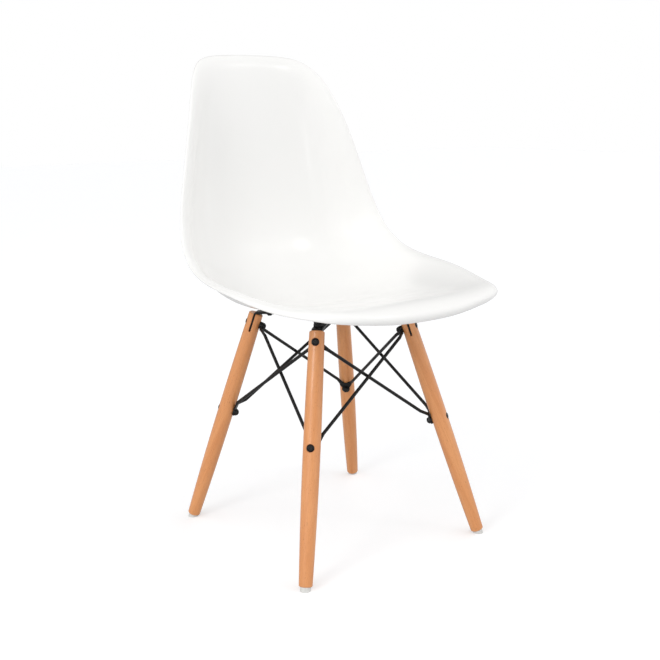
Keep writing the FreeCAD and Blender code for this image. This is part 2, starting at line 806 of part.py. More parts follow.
def key_placement(drop, offset, lean):
    """Place, on the YZ plane, a sketch square to the bolt at an offset from the leg axis."""
    x = TOP_REACH.value + LEAN_SIN.value * number(drop) + LEAN_COS.value * offset
    z = number("top_height") - LEAN_COS.value * number(drop) + LEAN_SIN.value * offset
    return Placement(Vector(0, z, x), lean)


def build_cap_nuts(name, drop, seat, stack):
    """Domed cap nuts on the inner side of each leg."""
    body = new_body(name, turned(BASE_TURN), many=True)
    face = -(size(seat) + stack)
    lean = Rotation(Vector(1, 0, 0), -LEAN)
    hexagon = new_sketch(body, "hexagon", "YZ_Plane", key_placement(drop, face.value, lean))
    draw_hexagon(hexagon, size("nut_radius"))
    prism = pad(body, hexagon, size("nut_hex_height"), back=True)
    sketch = leg_frame_sketch(body, "dome", number(drop))
    dome_base = face - size("nut_hex_height") + LAP
    top = face - size("nut_height")
    rim = size("nut_radius") * DOME_BASE
    tall = dome_base - top
    draw_outline(sketch, [
        (dome_base, ZERO), (top, ZERO), (top, rim * DOME_TOP),
        (top + tall * DOME_UPPER, rim * DOME_SHOULDER),
        (dome_base - tall * DOME_LOWER, rim), (dome_base, rim)])
    dome = revolve(body, sketch, "H_Axis")
    thread = new_sketch(body, "thread", "YZ_Plane", key_placement(drop, face.value, lean))
    draw_circle(thread, ZERO, ZERO, size("bolt_radius"))
    bore = pocket(body, thread, depth=size("nut_bore_depth"))
    around_chair(body, [prism, dome, bore])
    return body


def build_leg_washers(name, drop, seat):
    body = new_body(name, turned(BASE_TURN), many=True)
    sketch = leg_frame_sketch(body, "profile", number(drop))
    near, far = -size(seat), -(size(seat) + size("washer_thick"))
    inner, outer = size("bolt_hole_radius"), size("washer_radius")
    draw_outline(sketch, [(near, inner), (near, outer), (far, outer), (far, inner)])
    around_chair(body, [revolve(body, sketch, "H_Axis")])
    return body


# ---------------------------------------------------------------- rod braces

def flat_wire(centre, along, thin, half_thin, half_wide):
    """Flattened rod section: an ellipse square to along, thin in the direction thin."""
    wide = along.cross(thin).normalize()
    ellipse = Part.Ellipse(centre + wide * half_wide, centre + wide.cross(along) * half_thin, centre)
    return Part.Wire(ellipse.toShape())


def round_wire(centre, along, start):
    """Rod section whose seam faces start."""
    circle = Part.Circle(centre, along, number("rod_radius"))
    wire = Part.Wire(circle.toShape())
    current = wire.Vertexes[0].Point - centre
    wanted = start - along * start.dot(along)
    angle = math.degrees(math.atan2(current.cross(wanted).dot(along), current.dot(wanted)))
    wire.rotate(centre, along, angle)
    return wire


def swage(flat_centre, flat_along, thin, half_thin, round_centre, round_along):
    """Rod end where the round rod becomes flat."""
    flat = flat_wire(flat_centre, flat_along, thin, half_thin, number("flat_half_width"))
    seam = flat.Vertexes[0].Point - flat_centre
    return Part.makeLoft([flat, round_wire(round_centre, round_along, seam)], True)


def in_plane(direction, normal):
    return (direction - normal * direction.dot(normal)).normalize()


def arm(pad_centre, pad_normal, eye_centre, eye_normal, sideways):
    """One arm of a brace: flat at the pad, round along its length, flat at the eye."""
    straight = (eye_centre - pad_centre).normalize()
    leave, arrive = in_plane(straight, pad_normal), in_plane(straight, eye_normal)
    pad_end = pad_centre + leave * number("pad_reach")
    eye_end = eye_centre - arrive * number("eye_reach")
    reach = number("swage_length")
    run = (eye_end - pad_end).normalize()
    start = pad_end + run * reach - pad_normal * sideways
    end = eye_end - run * reach - eye_normal * sideways
    run = (end - start).normalize()
    rod = Part.makeCylinder(number("rod_radius"), (end - start).Length, start, run)
    pad_bend, eye_bend = (leave + run).normalize(), (arrive + run).normalize()
    pieces = [
        rod,
        swage(pad_end, pad_bend, pad_normal, number("pad_thick") / 2, start, run),
        swage(eye_end, eye_bend, eye_normal, number("eye_thick") / 2, end, run),
        plate(eye_centre, eye_normal, number("eye_thick"), number("eye_radius"), [eye_end - arrive * LAP]),
    ]
    return pieces, pad_end + leave * LAP


def plate(centre, normal, thick, radius, ends):
    """Flat plate: a disc round the bolt with a tongue to each rod end."""
    low = centre - normal * (thick / 2)
    solid = Part.makeCylinder(radius, thick, low, normal)
    half = number("flat_half_width")
    outline = []
    for end in ends:
        side = (end - centre).cross(normal).normalize() * half
        outline.append((end - side, end + side))
    for near, far in outline:
        corners = [centre - (far - near) / 2, near, far, centre + (far - near) / 2]
        solid = solid.fuse(prism_of(corners, normal, thick))
    if len(ends) == 2:
        solid = solid.fuse(prism_of([centre, ends[0], ends[1]], normal, thick))
    return solid


def prism_of(corners, normal, thick):
    low = [corner - normal * (thick / 2) for corner in corners]
    return Part.Face(Part.makePolygon(low + low[:1])).extrude(normal * thick)


def bolt_point(place, drop, offset):
    """Point on a bolt's axis, measured inwards from the leg axis."""
    return place.multVec(Vector(-offset, 0, -number(drop)))


def build_brace(index):
    """V-shaped rod brace from one leg's lower bolt to the upper bolts of its neighbours."""
    name, angle = LEGS[index]
    place = leg_placement(angle)
    outwards = place.Rotation.multVec(Vector(1, 0, 0))
    washer = number("washer_thick")
    pad_offset = number("lower_seat") + washer + number("pad_thick") / 2
    pad_centre = bolt_point(place, "belly_drop", pad_offset)
    pieces, tongues, holes = [], [], []
    for step, layer in ((1, 0), (-1, 1)):
        other = leg_placement(LEGS[(index + step) % len(LEGS)][1])
        eye_normal = other.Rotation.multVec(Vector(1, 0, 0))
        eye_offset = number("upper_seat") + washer + number("eye_thick") * (layer + 0.5)
        eye_centre = bolt_point(other, "upper_drop", eye_offset)
        sideways = number("rod_joggle") * (2 * layer - 1)
        limb, tongue = arm(pad_centre, outwards, eye_centre, eye_normal, sideways)
        pieces += limb
        tongues.append(tongue)
        holes.append((eye_centre, eye_normal))
    holes.append((pad_centre, outwards))
    solid = plate(pad_centre, outwards, number("pad_thick"), number("pad_radius"), tongues)
    solid = solid.fuse(pieces)
    for centre, normal in holes:
        start = centre - normal * CLEAR
        solid = solid.cut(Part.makeCylinder(number("bolt_hole_radius"), 2 * CLEAR, start, normal))
    part = doc.addObject("Part::Feature", "brace_" + name)
    part.Label = "brace_" + name
    part.Shape = solid.removeSplitter()
    return part


# ---------------------------------------------------------------- assembly

def build_all():
    parts = [build_seat_shell(), build_threaded_inserts()]
    for side_name, side in (("left", -1), ("right", 1)):
        parts.append(build_shock_mount("front_" + side_name, side, -1, "front_boss_height"))
        parts.append(build_shock_mount("rear_" + side_name, side, 1, "rear_boss_height"))
    parts.append(build_seat_screws("front", -1, "front_boss_height"))
    parts.append(build_seat_screws("rear", 1, "rear_boss_height"))
    parts.append(build_seat_screw_washers())
    parts.append(build_cross_bar("cross_bar_lower", LEGS[0][1], notch_above=True))
    parts.append(build_cross_bar("cross_bar_upper", LEGS[1][1], notch_above=False))
    for index, (name, angle) in enumerate(LEGS):
        parts.append(build_leg(name, angle))
        parts.append(build_glide(name, angle))
        parts.append(build_brace(index))
    parts.append(build_glide_nails())
    upper_stack = size("washer_thick") + size("eye_thick") * 2
    lower_stack = size("washer_thick") + size("pad_thick")
    parts.append(build_leg_bolts("upper_bolts", "upper_drop", "upper_recess", "upper_seat", upper_stack))
    parts.append(build_leg_bolts("lower_bolts", "belly_drop", "lower_recess", "lower_seat", lower_stack))
    parts.append(build_cap_nuts("upper_cap_nuts", "upper_drop", "upper_seat", upper_stack))
    parts.append(build_cap_nuts("lower_cap_nuts", "belly_drop", "lower_seat", lower_stack))
    parts.append(build_leg_washers("upper_washers", "upper_drop", "upper_seat"))
    parts.append(build_leg_washers("lower_washers", "belly_drop", "lower_seat"))
    doc.recompute()
    return parts


def check(parts):
    for item in doc.Objects:
        if "Invalid" in item.State or "Error" in item.State:
            raise RuntimeError("%s failed: %s" % (item.Label, item.State))
    for part in parts:
        if part.Shape.isNull() or not part.Shape.isValid() or not part.Shape.Solids:
            raise RuntimeError(part.Label + " has no valid shape")


def write(parts):
    os.makedirs("parts", exist_ok=True)
    for part in parts:
        part.Shape.exportStep(os.path.join("parts", part.Label + ".step"))
        print("%-22s solids %d  volume %.0f" % (part.Label, len(part.Shape.Solids), part.Shape.Volume))


chair = build_all()
check(chair)
write(chair)
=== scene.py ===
import math

import bmesh
import bpy
from mathutils import Matrix, Vector
from mathutils.bvhtree import BVHTree


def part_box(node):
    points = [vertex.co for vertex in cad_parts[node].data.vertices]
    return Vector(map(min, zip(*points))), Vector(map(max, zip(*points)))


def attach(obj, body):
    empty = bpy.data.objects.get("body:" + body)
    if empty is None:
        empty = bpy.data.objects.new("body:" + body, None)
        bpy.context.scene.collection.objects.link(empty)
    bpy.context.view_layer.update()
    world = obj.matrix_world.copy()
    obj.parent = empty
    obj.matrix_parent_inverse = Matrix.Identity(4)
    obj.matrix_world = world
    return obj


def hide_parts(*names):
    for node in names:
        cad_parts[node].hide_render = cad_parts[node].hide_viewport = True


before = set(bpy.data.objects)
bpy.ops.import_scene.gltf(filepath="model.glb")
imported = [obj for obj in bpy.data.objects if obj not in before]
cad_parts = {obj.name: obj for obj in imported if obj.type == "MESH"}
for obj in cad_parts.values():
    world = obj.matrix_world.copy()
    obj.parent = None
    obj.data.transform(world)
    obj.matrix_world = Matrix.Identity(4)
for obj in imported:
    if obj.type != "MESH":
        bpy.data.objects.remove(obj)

# Dining chair in its looks: metres, +Z up, the sitter faces -Y.
# The shell and its bosses are made here, from the shell's own formula.  Every other piece
# keeps its CAD shape and gets a procedural material.

MM = 0.001
UP = Vector((0, 0, 1))
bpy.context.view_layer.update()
LEGS = ("rear_right", "rear_left", "front_left", "front_right")


# ---------------------------------------------------------------- shell surface

# Poles of the shell's centre line, front edge to top edge, in millimetres:
# (y, z, half width, rise of the side wings)
STATIONS = [
    (-266, 418, 170, -23),
    (-249, 452, 229, 6),
    (-171, 436, 221, 15),
    (-59, 420, 245, 59),
    (122, 375, 214, 119),
    (248, 512, 224, 98),
    (221, 812, 155, 115),
    (250, 845, 171, 70),
]
DEGREE = 3                      # of the spline through the poles
WALL = 5.0
WING_POWERS = 2.5, 4.4          # how late the wings rise, at the front and at the top
CORNERS = 3.5, 4.6              # how square the outline is, at the front and at the top

# The rim rolls outwards: its radius, how far it turns, and its share of the way from the middle.
LIP_RADIUS = 13.4
LIP_TURN = math.radians(80)
LIP_SHARE = 0.087
RIM_ANGLES = [math.radians(angle) for angle in (30, 60, 90, 120, 150)]

# Grid of each face, and how far its lines crowd towards the rim.
LINES_ACROSS = 81
LINES_ALONG = 113
CROWDING = 0.55
MIDDLE_OF_DISC = 0.5            # inside it, directions are taken along the disc's own axes

# The smooth shell is drawn in a little towards its centre, to stay inside the CAD shell's box.
SHELL_CENTRE = Vector((0, 0, 0.6))
SHELL_TUCK = 0.9985

# Bosses under the seat, in millimetres.  Each flares into the shell along BOSS_FOOT, as pairs of
# (added radius, height over the shell's underside).
BOSS_RADIUS = 12.0
BOSS_EDGE = 0.4
BOSS_SIDES = 64
BOSS_FOOT = ((0, -1.6), (0.3, -0.7), (0.9, 0.0), (1.6, 0.5))
INSERT_RADIUS = 3.6
INSERT_LENGTH = 4.6
BELOW_SEAT = Vector((0, 0, -0.1))   # from a mount's top down to where the rays start


def clamp(value, low, high):
    return max(low, min(high, value))


def spline_weights(count, place):
    """Weights of the poles of a cubic spline with even knots, held at both ends."""
    spans = count - DEGREE
    knots = [0.0] * DEGREE + [index / spans for index in range(spans + 1)] + [1.0] * DEGREE
    place = clamp(place, 0.0, 1.0 - 1e-12)
    weights = [1.0 if knots[i] <= place < knots[i + 1] else 0.0 for i in range(len(knots) - 1)]
    for rank in range(1, DEGREE + 1):
        for i in range(len(knots) - 1 - rank):
            left = knots[i + rank] - knots[i]
            right = knots[i + rank + 1] - knots[i + 1]
            first = (place - knots[i]) / left * weights[i] if left else 0.0
            second = (knots[i + rank + 1] - place) / right * weights[i + 1] if right else 0.0
            weights[i] = first + second
    return weights[:count]


def station(place):
    """Centre line's depth and height, half width and wing rise at a place from 0 to 1."""
    weights = spline_weights(len(STATIONS), place)
    return [sum(w * row[k] for w, row in zip(weights, STATIONS)) for k in range(4)]


def body_point(across, along):
    """Upper face without the rolled rim: across from -1 to 1, along from 0 to 1."""
    y, z, half, rise = station(along)
    step = 1e-4
    low, high = station(along - step), station(along + step)
    tangent = Vector((0, high[0] - low[0], high[1] - low[1])).normalized()
    power = WING_POWERS[0] + (WING_POWERS[1] - WING_POWERS[0]) * along
    lift = rise * abs(across) ** power
    return Vector((half * across, y - tangent.z * lift, z + tangent.y * lift))


def body_normal(across, along):
    """Unit normal of that face, on the sitter's side."""
    step = 1e-3
    low, high = clamp(along - step, 0, 1), clamp(along + step, 0, 1)
    sideways = body_point(across + step, along) - body_point(across - step, along)
    forwards = body_point(across, high) - body_point(across, low)
    return sideways.cross(forwards).normalized()


def shell_point(u, v):
    """Upper face over the unit disc, with the rounded corners and the rolled rim."""
    distance = math.hypot(u, v)
    turn = LIP_TURN * clamp((distance - 1 + LIP_SHARE) / LIP_SHARE, 0, 1)
    reached = min(distance, 1 - LIP_SHARE) + LIP_SHARE * math.sin(turn) / LIP_TURN
    stretch = 1.0
    if distance > 1e-9:
        cosine, sine = u / distance, v / distance
        square = sum(CORNERS) / 2 + (CORNERS[1] - CORNERS[0]) / 2 * sine
        corner = (abs(cosine) ** square + abs(sine) ** square) ** (-1 / square)
        stretch = (1 + (corner - 1) * reached ** 2) * reached / distance
    across = u * stretch
    along = clamp((v * stretch + 1) / 2, 0, 1)
    drop = LIP_RADIUS * (1 - math.cos(turn))
    return body_point(across, along) - body_normal(across, along) * drop


def shell_directions(u, v):
    """Unit normal, and the direction that leaves the rim."""
    step = 1e-3
    distance = math.hypot(u, v)
    if distance < MIDDLE_OF_DISC:
        first = shell_point(u + step, v) - shell_point(u - step, v)
        second = shell_point(u, v + step) - shell_point(u, v - step)
        return first.cross(second).normalized(), first.normalized()
    outwards = shell_point(u, v) - shell_point(u * (1 - step), v * (1 - step))
    cosine, sine = math.cos(step), math.sin(step)
    ahead = shell_point(u * cosine - v * sine, u * sine + v * cosine)
    behind = shell_point(u * cosine + v * sine, v * cosine - u * sine)
    around = (ahead - behind).normalized()
    normal = outwards.cross(around).normalized()
    return normal, around.cross(normal).normalized()


def crowded(count):
    """Places from -1 to 1 that lie closer together towards both ends."""
    steps = [2.0 * index / (count - 1) - 1 for index in range(count)]
    return [(1 - CROWDING) * step + CROWDING * math.sin(math.pi / 2 * step) for step in steps]


def disc(a, b):
    """Place on the unit disc of a place on the square."""
    return a * math.sqrt(1 - b * b / 2), b * math.sqrt(1 - a * a / 2)


def finish_mesh(name, bm, levels=0):
    """Smooth-shaded piece of a finished mesh, subdivided where levels says so."""
    bmesh.ops.recalc_face_normals(bm, faces=bm.faces)
    mesh = bpy.data.meshes.new(name)
    bm.to_mesh(mesh)
    bm.free()
    mesh.polygons.foreach_set("use_smooth", [True] * len(mesh.polygons))
    piece = bpy.data.objects.new(name, mesh)
    bpy.context.scene.collection.objects.link(piece)
    if levels:
        modifier = piece.modifiers.new("round", "SUBSURF")
        modifier.levels = levels
        modifier.render_levels = levels
    return piece


def make_shell():
    """Moulded shell: a grid for each face, joined round the rim by a half-round edge."""
    across, along = crowded(LINES_ACROSS), crowded(LINES_ALONG)
    last_i, last_j = len(across) - 1, len(along) - 1
    bm = bmesh.new()
    upper, lower, rim = {}, {}, {}
    for i, a in enumerate(across):
        for j, b in enumerate(along):
            u, v = disc(a, b)
            point = shell_point(u, v)
            normal, outwards = shell_directions(u, v)
            upper[i, j] = bm.verts.new(point * MM)
            lower[i, j] = bm.verts.new((point - normal * WALL) * MM)
            if i in (0, last_i) or j in (0, last_j):
                rim[i, j] = []
                for angle in RIM_ANGLES:
                    away = normal * math.cos(angle) + outwards * math.sin(angle)
                    middle = point - normal * (WALL / 2)
                    rim[i, j].append(bm.verts.new((middle + away * (WALL / 2)) * MM))
    for grid in (upper, lower):
        for i in range(last_i):
            for j in range(last_j):
                bm.faces.new((grid[i, j], grid[i + 1, j], grid[i + 1, j + 1], grid[i, j + 1]))
    loop = [(i, 0) for i in range(last_i)] + [(last_i, j) for j in range(last_j)]
    loop += [(i, last_j) for i in range(last_i, 0, -1)] + [(0, j) for j in range(last_j, 0, -1)]
    for index, here in enumerate(loop):
        there = loop[(index + 1) % len(loop)]
        near = [upper[here]] + rim[here] + [lower[here]]
        far = [upper[there]] + rim[there] + [lower[there]]
        for k in range(len(near) - 1):
            bm.faces.new((near[k], near[k + 1], far[k + 1], far[k]))
    for corner in bm.verts:
        corner.co = SHELL_CENTRE + (corner.co - SHELL_CENTRE) * SHELL_TUCK
    return finish_mesh("moulded_shell", bm, levels=1)


def make_boss(place, shell_tree):
    """Moulded boss from the flat top of a rubber mount up into the shell, with its blind hole."""
    low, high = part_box("shock_mount_" + place)
    centre = Vector(((low.x + high.x) / 2, (low.y + high.y) / 2, high.z))
    bottom = centre.z / MM
    turns = [2 * math.pi * step / BOSS_SIDES for step in range(BOSS_SIDES)]

    def around(radius):
        return [(centre.x + radius * MM * math.cos(turn), centre.y + radius * MM * math.sin(turn))
                for turn in turns]

    profile = [
        (INSERT_RADIUS, bottom + INSERT_LENGTH), (INSERT_RADIUS, bottom + BOSS_EDGE),
        (INSERT_RADIUS + BOSS_EDGE, bottom), (BOSS_RADIUS - BOSS_EDGE, bottom),
        (BOSS_RADIUS, bottom + BOSS_EDGE)]
    bm = bmesh.new()
    rings = []
    for radius, height in profile:
        rings.append([bm.verts.new((x, y, height * MM)) for x, y in around(radius)])
    lowest = (bottom + BOSS_EDGE) * MM
    for added, lift in BOSS_FOOT:
        ring = []
        for x, y in around(BOSS_RADIUS + added):
            start = Vector((x, y, centre.z)) + BELOW_SEAT
            underside = shell_tree.ray_cast(start, UP)[0].z
            ring.append(bm.verts.new((x, y, max(underside + lift * MM, lowest))))
        rings.append(ring)
    for near, far in zip(rings, rings[1:]):
        for step in range(BOSS_SIDES):
            after = (step + 1) % BOSS_SIDES
            bm.faces.new((near[step], near[after], far[after], far[step]))
    bm.faces.new(rings[0])
    bm.faces.new(rings[-1])
    return finish_mesh("boss_" + place, bm)


# ---------------------------------------------------------------- materials

# Colours are linear.  A pair is the two ends that a noise mixes.
SHELL_WHITES = (0.880, 0.876, 0.862), (0.885, 0.881, 0.867)
BEECH_BANDS = (0.67, 0.265, 0.088), (0.79, 0.355, 0.135)
BEECH_CLOUD = 0.71, 0.29, 0.096
BEECH_FIBRE = 0.54, 0.19, 0.058
BEECH_FLECK = 0.36, 0.12, 0.036
RUBBER_BLACKS = (0.012,) * 3, (0.022,) * 3
GLIDE_GREYS = (0.72, 0.72, 0.70), (0.62, 0.62, 0.60)
COATING_BLACK = 0.004
BRASS = 0.72, 0.50, 0.20
STEEL = 0.6, 0.6, 0.6

# A noise mostly keeps between these two values.
NOISE_LOW, NOISE_HIGH = 0.3, 0.7

# From the inner edge of a leg's top to its centre line, along the diagonal, in metres.
LEG_INSET = 0.016
GRAIN_SHIFT = 0.31              # from one leg's grain to the next leg's


def new_material(name):
    """Material with its node tree and its main shader."""
    material = bpy.data.materials.new(name)
    material.use_nodes = True
    tree = material.node_tree
    shader = tree.nodes["Principled BSDF"]
    return material, tree, shader


def node(tree, kind, **settings):
    """New node, with inputs or attributes set by name."""
    made = tree.nodes.new(kind)
    for key, value in settings.items():
        if key in made.inputs:
            made.inputs[key].default_value = value
        else:
            setattr(made, key, value)
    return made


def set_shader(shader, **values):
    """Set the shader's sockets, with underscores for the spaces in their names."""
    for key, value in values.items():
        shader.inputs[key.replace("_", " ")].default_value = value


def mix_colour(tree, factor, first, second):
    """Mix of two colours, where each is three numbers or another node's socket."""
    mixed = node(tree, "ShaderNodeMix", data_type="RGBA")
    tree.links.new(factor, mixed.inputs[0])
    for socket, colour in ((mixed.inputs[6], first), (mixed.inputs[7], second)):
        if isinstance(colour, bpy.types.NodeSocket):
            tree.links.new(colour, socket)
        else:
            socket.default_value = (*colour, 1)
    return mixed.outputs[2]


def stretch(tree, value, low, high, to_low, to_high):
    """Value carried from one range to another, and held at its ends."""
    ramp = node(tree, "ShaderNodeMapRange")
    for index, number in ((1, low), (2, high), (3, to_low), (4, to_high)):
        ramp.inputs[index].default_value = number
    tree.links.new(value, ramp.inputs[0])
    return ramp.outputs[0]


def spread(tree, value, to_low=0, to_high=1):
    """A noise carried from its usual range to another."""
    return stretch(tree, value, NOISE_LOW, NOISE_HIGH, to_low, to_high)


def noise(tree, vector, scale, detail=3.0, roughness=0.5, distortion=0.0):
    """Noise of a scale, in lumps per metre."""
    made = node(tree, "ShaderNodeTexNoise")
    made.inputs["Scale"].default_value = scale
    made.inputs["Detail"].default_value = detail
    made.inputs["Roughness"].default_value = roughness
    made.inputs["Distortion"].default_value = distortion
    tree.links.new(vector, made.inputs["Vector"])
    return made.outputs[0]


def bump(tree, shader, height, distance, strength):
    """Relief on the shader, with its depth in metres."""
    made = node(tree, "ShaderNodeBump")
    made.inputs["Strength"].default_value = strength
    made.inputs["Distance"].default_value = distance
    tree.links.new(height, made.inputs["Height"])
    tree.links.new(made.outputs[0], shader.inputs["Normal"])


def object_coordinates(tree):
    return node(tree, "ShaderNodeTexCoord").outputs["Object"]


def shell_plastic():
    """White polypropylene with a fine moulded texture."""
    material, tree, shader = new_material("shell_plastic")
    place = object_coordinates(tree)
    cloud = noise(tree, place, 7, 2)
    tone = mix_colour(tree, spread(tree, cloud), *SHELL_WHITES)
    tree.links.new(tone, shader.inputs["Base Color"])
    rough = spread(tree, noise(tree, place, 30, 4), 0.19, 0.23)
    tree.links.new(rough, shader.inputs["Roughness"])
    set_shader(shader, Specular_IOR_Level=0.45, IOR=1.49)
    bump(tree, shader, noise(tree, place, 160, 2), 0.01 * MM, 0.03)
    return material


def leg_matrix(name):
    """Leg frame: origin at the leg top, z up along the leg."""
    low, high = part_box("leg_" + name)
    side = Vector((1 if low.x > 0 else -1, 1 if low.y > 0 else -1, 0)).normalized()
    near, far = sorted((abs(low.x), abs(high.x)))
    lean = math.atan2((far - near) * math.sqrt(2), high.z - low.z)
    along = UP * math.cos(lean) - side * math.sin(lean)
    outwards = side * math.cos(lean) + UP * math.sin(lean)
    leg_frame = Matrix((outwards, along.cross(outwards), along)).transposed().to_4x4()
    leg_frame.translation = side * (near * math.sqrt(2) + LEG_INSET) + UP * high.z
    return leg_frame


def leg_wood(name, offset):
    """Steamed beech: straight grain along the leg, with short dark flecks, under satin lacquer."""
    material, tree, shader = new_material("beech_" + name)
    mapping = node(tree, "ShaderNodeMapping", vector_type="TEXTURE")
    place = leg_matrix(name)
    mapping.inputs["Location"].default_value = place.translation
    mapping.inputs["Rotation"].default_value = place.to_euler()
    tree.links.new(object_coordinates(tree), mapping.inputs["Vector"])
    shifted = node(tree, "ShaderNodeVectorMath", operation="ADD")
    shifted.inputs[1].default_value = (offset, offset * 0.37, offset * 1.9)
    tree.links.new(mapping.outputs[0], shifted.inputs[0])

    def along_grain(squeeze):
        """Coordinates squeezed along the leg, so that a noise comes out that much longer."""
        scaled = node(tree, "ShaderNodeVectorMath", operation="MULTIPLY")
        scaled.inputs[1].default_value = (1, 1, squeeze)
        tree.links.new(shifted.outputs[0], scaled.inputs[0])
        return scaled.outputs[0]

    band = noise(tree, along_grain(0.08), 75, 3, 0.55, 0.6)
    fibre = noise(tree, along_grain(0.02), 900, 4, 0.6)
    fleck = noise(tree, along_grain(0.16), 1500, 1, 0.4)
    broad = noise(tree, along_grain(0.3), 9, 2)
    colour = mix_colour(tree, stretch(tree, band, 0.32, 0.68, 0, 1), *BEECH_BANDS)
    colour = mix_colour(tree, stretch(tree, broad, 0.35, 0.65, 0, 0.4), colour, BEECH_CLOUD)
    colour = mix_colour(tree, stretch(tree, fibre, 0.42, 0.72, 0, 0.32), colour, BEECH_FIBRE)
    colour = mix_colour(tree, stretch(tree, fleck, 0.66, 0.74, 0, 0.55), colour, BEECH_FLECK)
    tree.links.new(colour, shader.inputs["Base Color"])
    tree.links.new(spread(tree, fibre, 0.36, 0.48), shader.inputs["Roughness"])
    set_shader(shader, Coat_Weight=0.6, Coat_Roughness=0.2, Specular_IOR_Level=0.4)
    bump(tree, shader, fibre, 0.08 * MM, 0.35)
    return material


def coated_metal(name, rough, peel_scale, peel):
    """Black coated steel with a faint orange peel."""
    material, tree, shader = new_material(name)
    place = object_coordinates(tree)
    cloud = noise(tree, place, 60, 3)
    colour = mix_colour(tree, spread(tree, cloud), [COATING_BLACK] * 3, [COATING_BLACK * 1.35] * 3)
    tree.links.new(colour, shader.inputs["Base Color"])
    tree.links.new(spread(tree, cloud, rough, rough + 0.08), shader.inputs["Roughness"])
    set_shader(shader, Specular_IOR_Level=0.3)
    bump(tree, shader, noise(tree, place, peel_scale, 2), 0.05 * MM, peel)
    return material


def rubber():
    """Matt black rubber."""
    material, tree, shader = new_material("mount_rubber")
    place = object_coordinates(tree)
    colour = mix_colour(tree, spread(tree, noise(tree, place, 200, 3)), *RUBBER_BLACKS)
    tree.links.new(colour, shader.inputs["Base Color"])
    set_shader(shader, Roughness=0.75, Specular_IOR_Level=0.3)
    bump(tree, shader, noise(tree, place, 900, 3), 0.05 * MM, 0.4)
    return material


def turned_metal(name, colour, rough):
    """Bare turned metal with fine tool marks."""
    material, tree, shader = new_material(name)
    place = object_coordinates(tree)
    marks = noise(tree, place, 1200, 2)
    tone = mix_colour(tree, spread(tree, marks), [part * 0.85 for part in colour], colour)
    tree.links.new(tone, shader.inputs["Base Color"])
    set_shader(shader, Metallic=1.0)
    tree.links.new(spread(tree, marks, rough, rough + 0.12), shader.inputs["Roughness"])
    return material


def glide_plastic():
    """Pale hard plastic, scuffed a little."""
    material, tree, shader = new_material("glide_plastic")
    place = object_coordinates(tree)
    scuff = noise(tree, place, 350, 4)
    colour = mix_colour(tree, stretch(tree, scuff, 0.35, 0.7, 0, 1), *GLIDE_GREYS)
    tree.links.new(colour, shader.inputs["Base Color"])
    tree.links.new(spread(tree, scuff, 0.35, 0.5), shader.inputs["Roughness"])
    bump(tree, shader, scuff, 0.05 * MM, 0.3)
    return material


def dress(name, material):
    """Give a CAD node its material."""
    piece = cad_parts[name]
    if not piece.material_slots:
        piece.data.materials.append(material)
    for place in piece.material_slots:
        place.material = material


# ---------------------------------------------------------------- pieces and materials

shell_material = shell_plastic()
shell = make_shell()
shell_tree = BVHTree.FromPolygons(
    [corner.co.copy() for corner in shell.data.vertices],
    [face.vertices[:] for face in shell.data.polygons])
moulded = [shell] + [make_boss(place, shell_tree) for place in LEGS]
for piece in moulded:
    piece.data.materials.append(shell_material)
    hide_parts("seat_shell")
    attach(piece, "root")

frame_paint = coated_metal("frame_paint", 0.34, 700, 0.5)
black_hardware = coated_metal("black_hardware", 0.28, 1500, 0.2)
mount_rubber = rubber()
insert_brass = turned_metal("insert_brass", BRASS, 0.3)
nail_steel = turned_metal("nail_steel", STEEL, 0.3)
glide_material = glide_plastic()

for index, name in enumerate(LEGS):
    dress("leg_" + name, leg_wood(name, GRAIN_SHIFT * (index + 1)))
    dress("glide_" + name, glide_material)
    dress("brace_" + name, frame_paint)
    dress("shock_mount_" + name, mount_rubber)
for name in ("cross_bar_lower", "cross_bar_upper"):
    dress(name, frame_paint)
for name in ("upper_bolts", "lower_bolts", "upper_cap_nuts", "lower_cap_nuts", "upper_washers",
             "lower_washers", "seat_screws_front", "seat_screws_rear", "seat_screw_washers"):
    dress(name, black_hardware)
dress("threaded_inserts", insert_brass)
dress("glide_nails", nail_steel)


# ---------------------------------------------------------------- floor, light and camera

FLOOR_REACH = 12
FLOOR_WHITES = (0.695, 0.70, 0.71), (0.70, 0.705, 0.715)
BACKDROP_GLOW = 0.38            # of the floor, and only as the camera sees it
BACKDROP_WHITE = 1.0            # behind the floor, and only as the camera sees it

# The room's light: the way that each side lies, and how bright it is.
ROOM = (((0, -1, 0), 0.24), ((-1, 0, 0), 1.01), ((0.97, -0.25, 0), 1.27), ((0, 0, 1), 0.28))

# Soft lights: name, azimuth from +X and elevation in degrees, width and height, and radiance.
SOFTBOXES = (
    ("softbox_left", -163, 24, (0.9, 0.9), 6.3),
    ("softbox_front", -95, -1, (0.2, 0.2), 10.0),
    ("softbox_high_front", -57, 38, (0.5, 0.4), 5.0),
    ("softbox_near", -138, 27, (0.4, 0.4), 2.2),
)
LIGHT_TARGET = Vector((0, 0, 0.5))
LIGHT_DISTANCE = 2.8

CEILING_STRENGTH = 0.59
CEILING_SPREAD = math.radians(100)
CEILING_SIDE = Vector((-0.5, -0.3, 1))

CAMERA_PLACE = -0.9953, -1.3924, 0.7390
CAMERA_AZIMUTH = math.radians(-35.53)
CAMERA_ELEVATION = math.radians(12.49)
CAMERA_ROLL = math.radians(-0.54)
CAMERA_LENS = 55.07
CAMERA_SENSOR = 36


